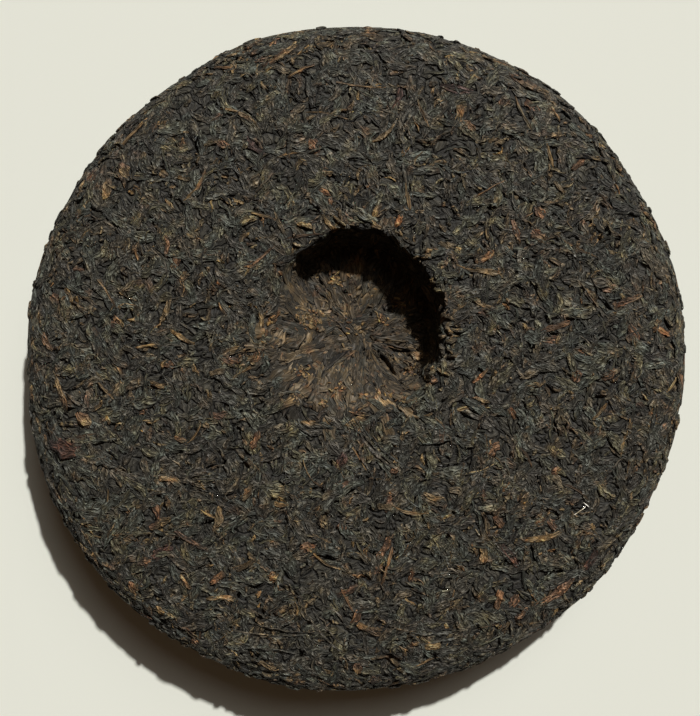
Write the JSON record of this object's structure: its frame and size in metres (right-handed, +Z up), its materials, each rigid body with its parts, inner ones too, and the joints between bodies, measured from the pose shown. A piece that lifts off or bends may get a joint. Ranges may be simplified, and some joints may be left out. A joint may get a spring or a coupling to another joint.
{
  "type": "pu erh tea cake",
  "caption": "Round pressed disc of dark dried tea leaves: a nearly flat top with an off-centre dimple, a rounded rim and a gently domed underside with a flat spot to rest on.",
  "frame": {"origin": "on the table plane, under the middle of the disc", "axes": "+Z up through the thickness with the dimple on top, +Y towards the side that the dimple is offset to"},
  "size_m": [0.2, 0.2002, 0.0262],
  "materials": {
    "tea_leaf": "matt, with a faint satin sheen on the rolled leaves"
  },
  "bodies": {
    "root": {"tea_cake": "tea_leaf"}
  },
  "joints": []
}
